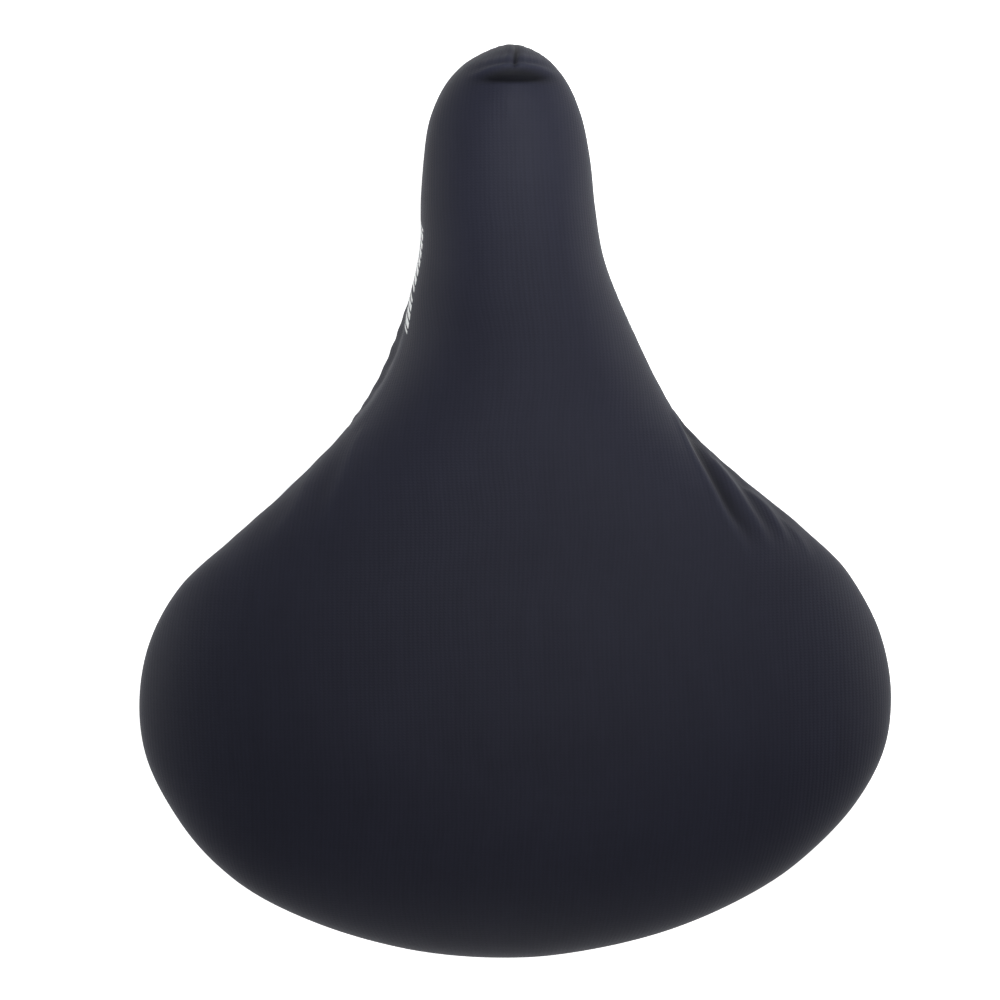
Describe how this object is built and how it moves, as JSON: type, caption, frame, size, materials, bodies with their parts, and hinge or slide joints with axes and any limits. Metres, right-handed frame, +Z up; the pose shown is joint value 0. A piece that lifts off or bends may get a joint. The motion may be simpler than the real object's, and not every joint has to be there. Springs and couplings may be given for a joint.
{
  "type": "bicycle saddle",
  "caption": "Wide padded bicycle saddle with a stretch cover, bent wire rails, rear coil springs and a tilting seatpost clamp.",
  "frame": {"origin": "on the seatpost's axis, at the lower mouth of the clamp's round socket", "axes": "+Y towards the nose, +X to the rider's right, +Z up along the seatpost"},
  "size_m": [0.225, 0.272, 0.109],
  "materials": {
    "stretch_fabric": "matte",
    "foam": "matte",
    "black_plastic": "satin",
    "black_steel": "satin",
    "spring_steel": "satin",
    "zinc_steel": "satin"
  },
  "bodies": {
    "seatpost_clamp": {"clamp_strap": "zinc_steel", "clamp_spacer": "zinc_steel", "clamp_bolt": "zinc_steel", "clamp_nut": "zinc_steel", "clamp_washer_left": "zinc_steel", "clamp_washer_right": "zinc_steel"},
    "cradles": {"inner_cradle_left": "zinc_steel", "inner_cradle_right": "zinc_steel", "outer_cradle_left": "zinc_steel", "outer_cradle_right": "zinc_steel"},
    "rails": {"rail_frame": "black_steel", "lower_spring_cup_left": "black_steel", "lower_spring_cup_right": "black_steel", "lower_spring_bolt_left": "zinc_steel", "lower_spring_bolt_right": "zinc_steel", "lower_spring_nut_left": "zinc_steel", "lower_spring_nut_right": "zinc_steel", "coil_spring_left": "spring_steel", "coil_spring_right": "spring_steel"},
    "saddle_top": {"base_shell": "black_plastic", "foam_pad": "foam", "cover": "stretch_fabric", "nose_cap": "black_steel", "nose_screw_front": "zinc_steel", "nose_screw_rear": "zinc_steel", "upper_spring_cup_left": "black_steel", "upper_spring_cup_right": "black_steel", "upper_spring_bolt_left": "zinc_steel", "upper_spring_bolt_right": "zinc_steel", "upper_spring_nut_left": "zinc_steel", "upper_spring_nut_right": "zinc_steel"}
  },
  "joints": [
    {"name": "clamp_tilt", "type": "hinge", "parent": "seatpost_clamp", "child": "cradles", "pos_m": [0, -0.02, 0.014], "axis": [1, 0, 0], "range_deg": [-20, 20]},
    {"name": "rail_slide", "type": "slide", "parent": "cradles", "child": "rails", "axis": [0, 1, 0], "range_m": [-0.015, 0.015]},
    {"name": "suspension", "type": "hinge", "parent": "rails", "child": "saddle_top", "pos_m": [0, 0.106, 0.053], "axis": [1, 0, 0], "range_deg": [-1, 4.5], "stiffness_Nm_per_rad": 2400, "deforming": ["coil_spring_left", "coil_spring_right"]}
  ]
}
